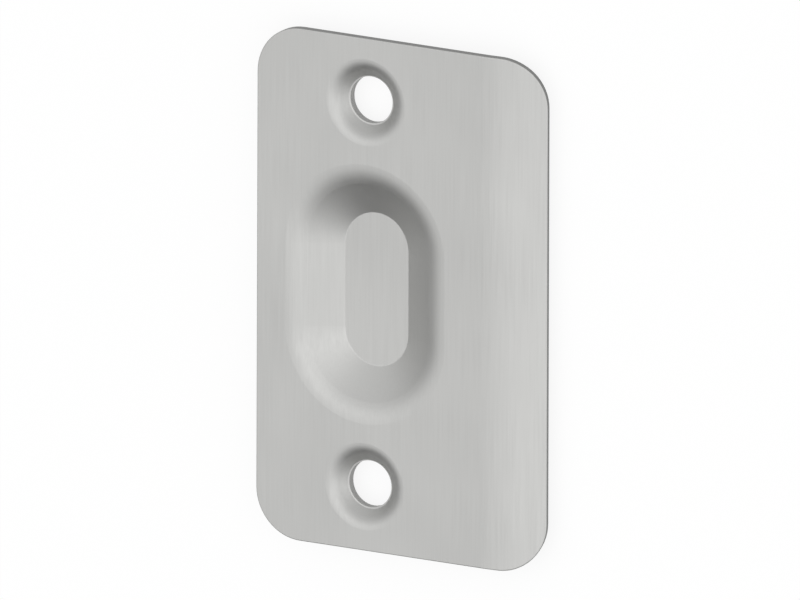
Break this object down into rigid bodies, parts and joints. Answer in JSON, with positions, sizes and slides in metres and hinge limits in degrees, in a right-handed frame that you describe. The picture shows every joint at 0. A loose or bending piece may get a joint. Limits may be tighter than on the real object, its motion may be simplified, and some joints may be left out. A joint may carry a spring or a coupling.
{
  "type": "door strike plate",
  "caption": "Pressed sheet metal strike plate for a ball catch: rounded oblong plate with a central recess, countersunk screw holes and one long edge curved back as a lip.",
  "frame": {"origin": "middle of the two screw holes and of the recess, on the plate's back seating plane", "axes": "+Z out of the front face, +X across the plate towards the curved lip, +Y along the plate"},
  "size_m": [0.0351, 0.0572, 0.0035],
  "materials": {
    "plate": "satin"
  },
  "bodies": {
    "root": {"strike_plate": "plate"}
  },
  "joints": []
}
